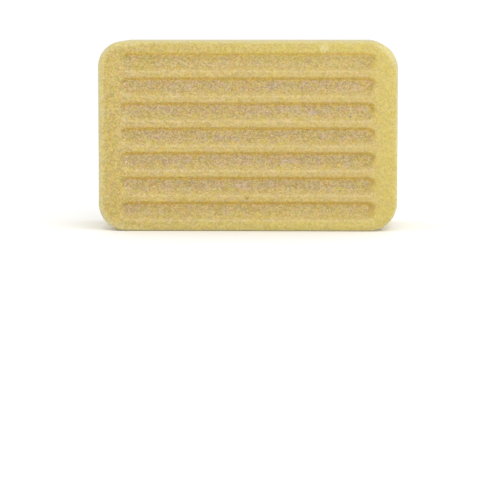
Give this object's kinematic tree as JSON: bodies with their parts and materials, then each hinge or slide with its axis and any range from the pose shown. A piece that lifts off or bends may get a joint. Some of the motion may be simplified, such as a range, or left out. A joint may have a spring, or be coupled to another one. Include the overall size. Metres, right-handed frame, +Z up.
{
  "type": "ribbed scrub bar",
  "caption": "Hand-sized moulded scrub bar: a waxy rounded block with a gritty, grooved face, a smooth cast side and a poured back with a thin broken rim.",
  "frame": {"origin": "middle of the footprint, on the surface that the bar stands on", "axes": "+Z up along the bar's height, +X along its length, -Y out of the grooved scrub face, +Y out of the poured back"},
  "size_m": [0.082, 0.038, 0.052],
  "materials": {
    "cast_body": "smooth waxy, slightly translucent, satin",
    "grit_layer": "sandy, matt, full of fine settled grit",
    "pour_skin": "pale set skin, satin",
    "pale_grit": "matt, angular",
    "brown_grit": "matt, angular",
    "clear_grit": "glassy, angular"
  },
  "bodies": {
    "root": {"bar_body": "cast_body", "scrub_face": "grit_layer", "pour_skin": "pour_skin", "edge_flash": "pour_skin", "pale_grains": "pale_grit", "brown_grains": "brown_grit", "clear_grains": "clear_grit"}
  },
  "joints": []
}
